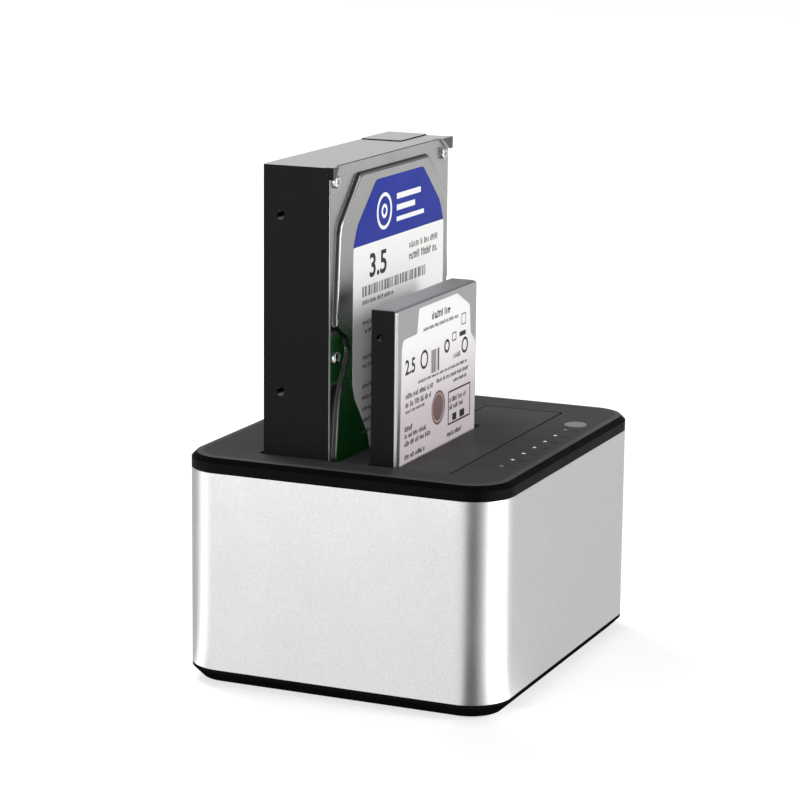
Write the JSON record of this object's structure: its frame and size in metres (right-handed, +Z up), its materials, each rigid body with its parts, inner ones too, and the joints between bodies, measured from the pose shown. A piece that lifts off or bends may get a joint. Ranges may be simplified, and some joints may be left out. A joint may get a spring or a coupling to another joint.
{
  "type": "drive duplicator",
  "caption": "Boxy desktop docking station with a metal sleeve and black deck, copying one upright disk drive onto another in its sprung-door bays.",
  "frame": {"origin": "middle of the housing's footprint, on the plane the feet stand on", "axes": "+Z up out of the drive bays, -Y towards the front with the lamps and the button, +X to the right seen from the front"},
  "size_m": [0.1372, 0.1172, 0.1795],
  "materials": {
    "anodised_aluminium": "fine bead-blasted anodised finish",
    "deck_plastic": "fine satin black moulding",
    "base_plastic": "satin black moulding",
    "door_plastic": "satin black moulding",
    "frame_plastic": "matt black moulding",
    "foot_rubber": "matt black rubber",
    "steel": "bright zinc-plated steel",
    "spring_steel": "drawn spring wire",
    "circuit_board": "green solder mask",
    "drive_circuit_board": "blue-green solder mask",
    "chip_black": "moulded epoxy packages",
    "capacitor_can": "sleeved aluminium cans",
    "ferrite": "sintered ferrite",
    "connector_plastic": "black connector moulding",
    "socket_metal": "plated sheet steel",
    "contact_brass": "plated contact",
    "clear_plastic": "clear acrylic",
    "lamp_body": "white lamp package",
    "ribbon": "white flat cable",
    "button_plastic": "satin grey cap",
    "drive_casting": "black-coated aluminium casting with bare machined ends",
    "drive_lid_metal": "stamped satin aluminium",
    "label_paper": "printed sheet label",
    "spindle_seal": "dull brown foil seal"
  },
  "bodies": {
    "housing": {"aluminium_sleeve": "anodised_aluminium", "top_deck": "deck_plastic", "base_tray": "base_plastic", "rubber_feet": "foot_rubber", "base_screws": "steel", "rear_panel": "base_plastic", "main_board": "circuit_board", "board_screws": "steel", "drive_cradle": "frame_plastic", "cradle_screws": "steel", "front_drive_socket": "connector_plastic", "rear_drive_socket": "connector_plastic", "control_chips": "chip_black", "capacitors": "capacitor_can", "inductors": "ferrite", "usb_socket": "socket_metal", "usb_insert": "connector_plastic", "dc_jack": "connector_plastic", "dc_jack_pin": "contact_brass", "power_switch": "base_plastic", "lamp_board": "circuit_board", "lamp_screws": "steel", "lamps": "lamp_body", "light_pipes": "clear_plastic", "lamp_ribbon": "ribbon", "ribbon_sockets": "connector_plastic", "tact_switch": "connector_plastic", "front_door_pin": "steel", "front_door_spring": "spring_steel", "rear_door_pin": "steel", "rear_door_spring": "spring_steel", "front_flap_pin": "steel", "front_flap_spring": "spring_steel", "rear_flap_pin": "steel", "rear_flap_spring": "spring_steel"},
    "front_door": {"front_door": "door_plastic"},
    "rear_door": {"rear_door": "door_plastic"},
    "front_flap": {"front_flap": "door_plastic"},
    "rear_flap": {"rear_flap": "door_plastic"},
    "clone_button": {"clone_button": "button_plastic", "tact_plunger": "connector_plastic"},
    "power_rocker": {"power_rocker": "button_plastic"},
    "large_drive": {"large_drive_casting": "drive_casting", "large_drive_lid": "drive_lid_metal", "large_lid_screws": "steel", "large_drive_label": "label_paper", "large_drive_board": "drive_circuit_board", "large_board_screws": "steel", "large_drive_plug": "connector_plastic"},
    "small_drive": {"small_drive_casting": "drive_casting", "small_drive_cover": "drive_lid_metal", "small_drive_label": "label_paper", "small_drive_spindle_cap": "spindle_seal", "small_drive_board": "drive_circuit_board", "small_drive_plug": "connector_plastic"}
  },
  "joints": [
    {"name": "front_door_hinge", "type": "hinge", "parent": "housing", "child": "front_door", "pos_m": [0, -0.0382, 0.07595], "axis": [-1, 0, 0], "range_deg": [0, 88], "stiffness_Nm_per_rad": 0.004, "springref_deg": -30, "deforming": ["front_door_spring"]},
    {"name": "rear_door_hinge", "type": "hinge", "parent": "housing", "child": "rear_door", "pos_m": [0, 0.0024, 0.07595], "axis": [-1, 0, 0], "range_deg": [0, 3.5], "stiffness_Nm_per_rad": 0.004, "springref_deg": -120, "deforming": ["rear_door_spring"]},
    {"name": "front_flap_hinge", "type": "hinge", "parent": "housing", "child": "front_flap", "pos_m": [0, -0.0027, 0.07595], "axis": [1, 0, 0], "range_deg": [0, 4], "stiffness_Nm_per_rad": 0.004, "springref_deg": -120, "deforming": ["front_flap_spring"]},
    {"name": "rear_flap_hinge", "type": "hinge", "parent": "housing", "child": "rear_flap", "pos_m": [0, 0.0379, 0.07595], "axis": [1, 0, 0], "range_deg": [0, 8], "stiffness_Nm_per_rad": 0.004, "springref_deg": -115, "deforming": ["rear_flap_spring"]},
    {"name": "clone_button_press", "type": "slide", "parent": "housing", "child": "clone_button", "axis": [0, 0, -1], "range_m": [0, 0.0005], "stiffness_N_per_m": 600, "springref_m": -0.0008},
    {"name": "power_rocker_tilt", "type": "hinge", "parent": "housing", "child": "power_rocker", "pos_m": [-0.02, 0.05585, 0.0259], "axis": [0, 0, -1], "range_deg": [0, 16]},
    {"name": "large_drive_lift", "type": "slide", "parent": "housing", "child": "large_drive", "axis": [0, 0, 1], "range_m": [0, 0.055]},
    {"name": "small_drive_lift", "type": "slide", "parent": "housing", "child": "small_drive", "axis": [0, 0, 1], "range_m": [0, 0.055]}
  ]
}
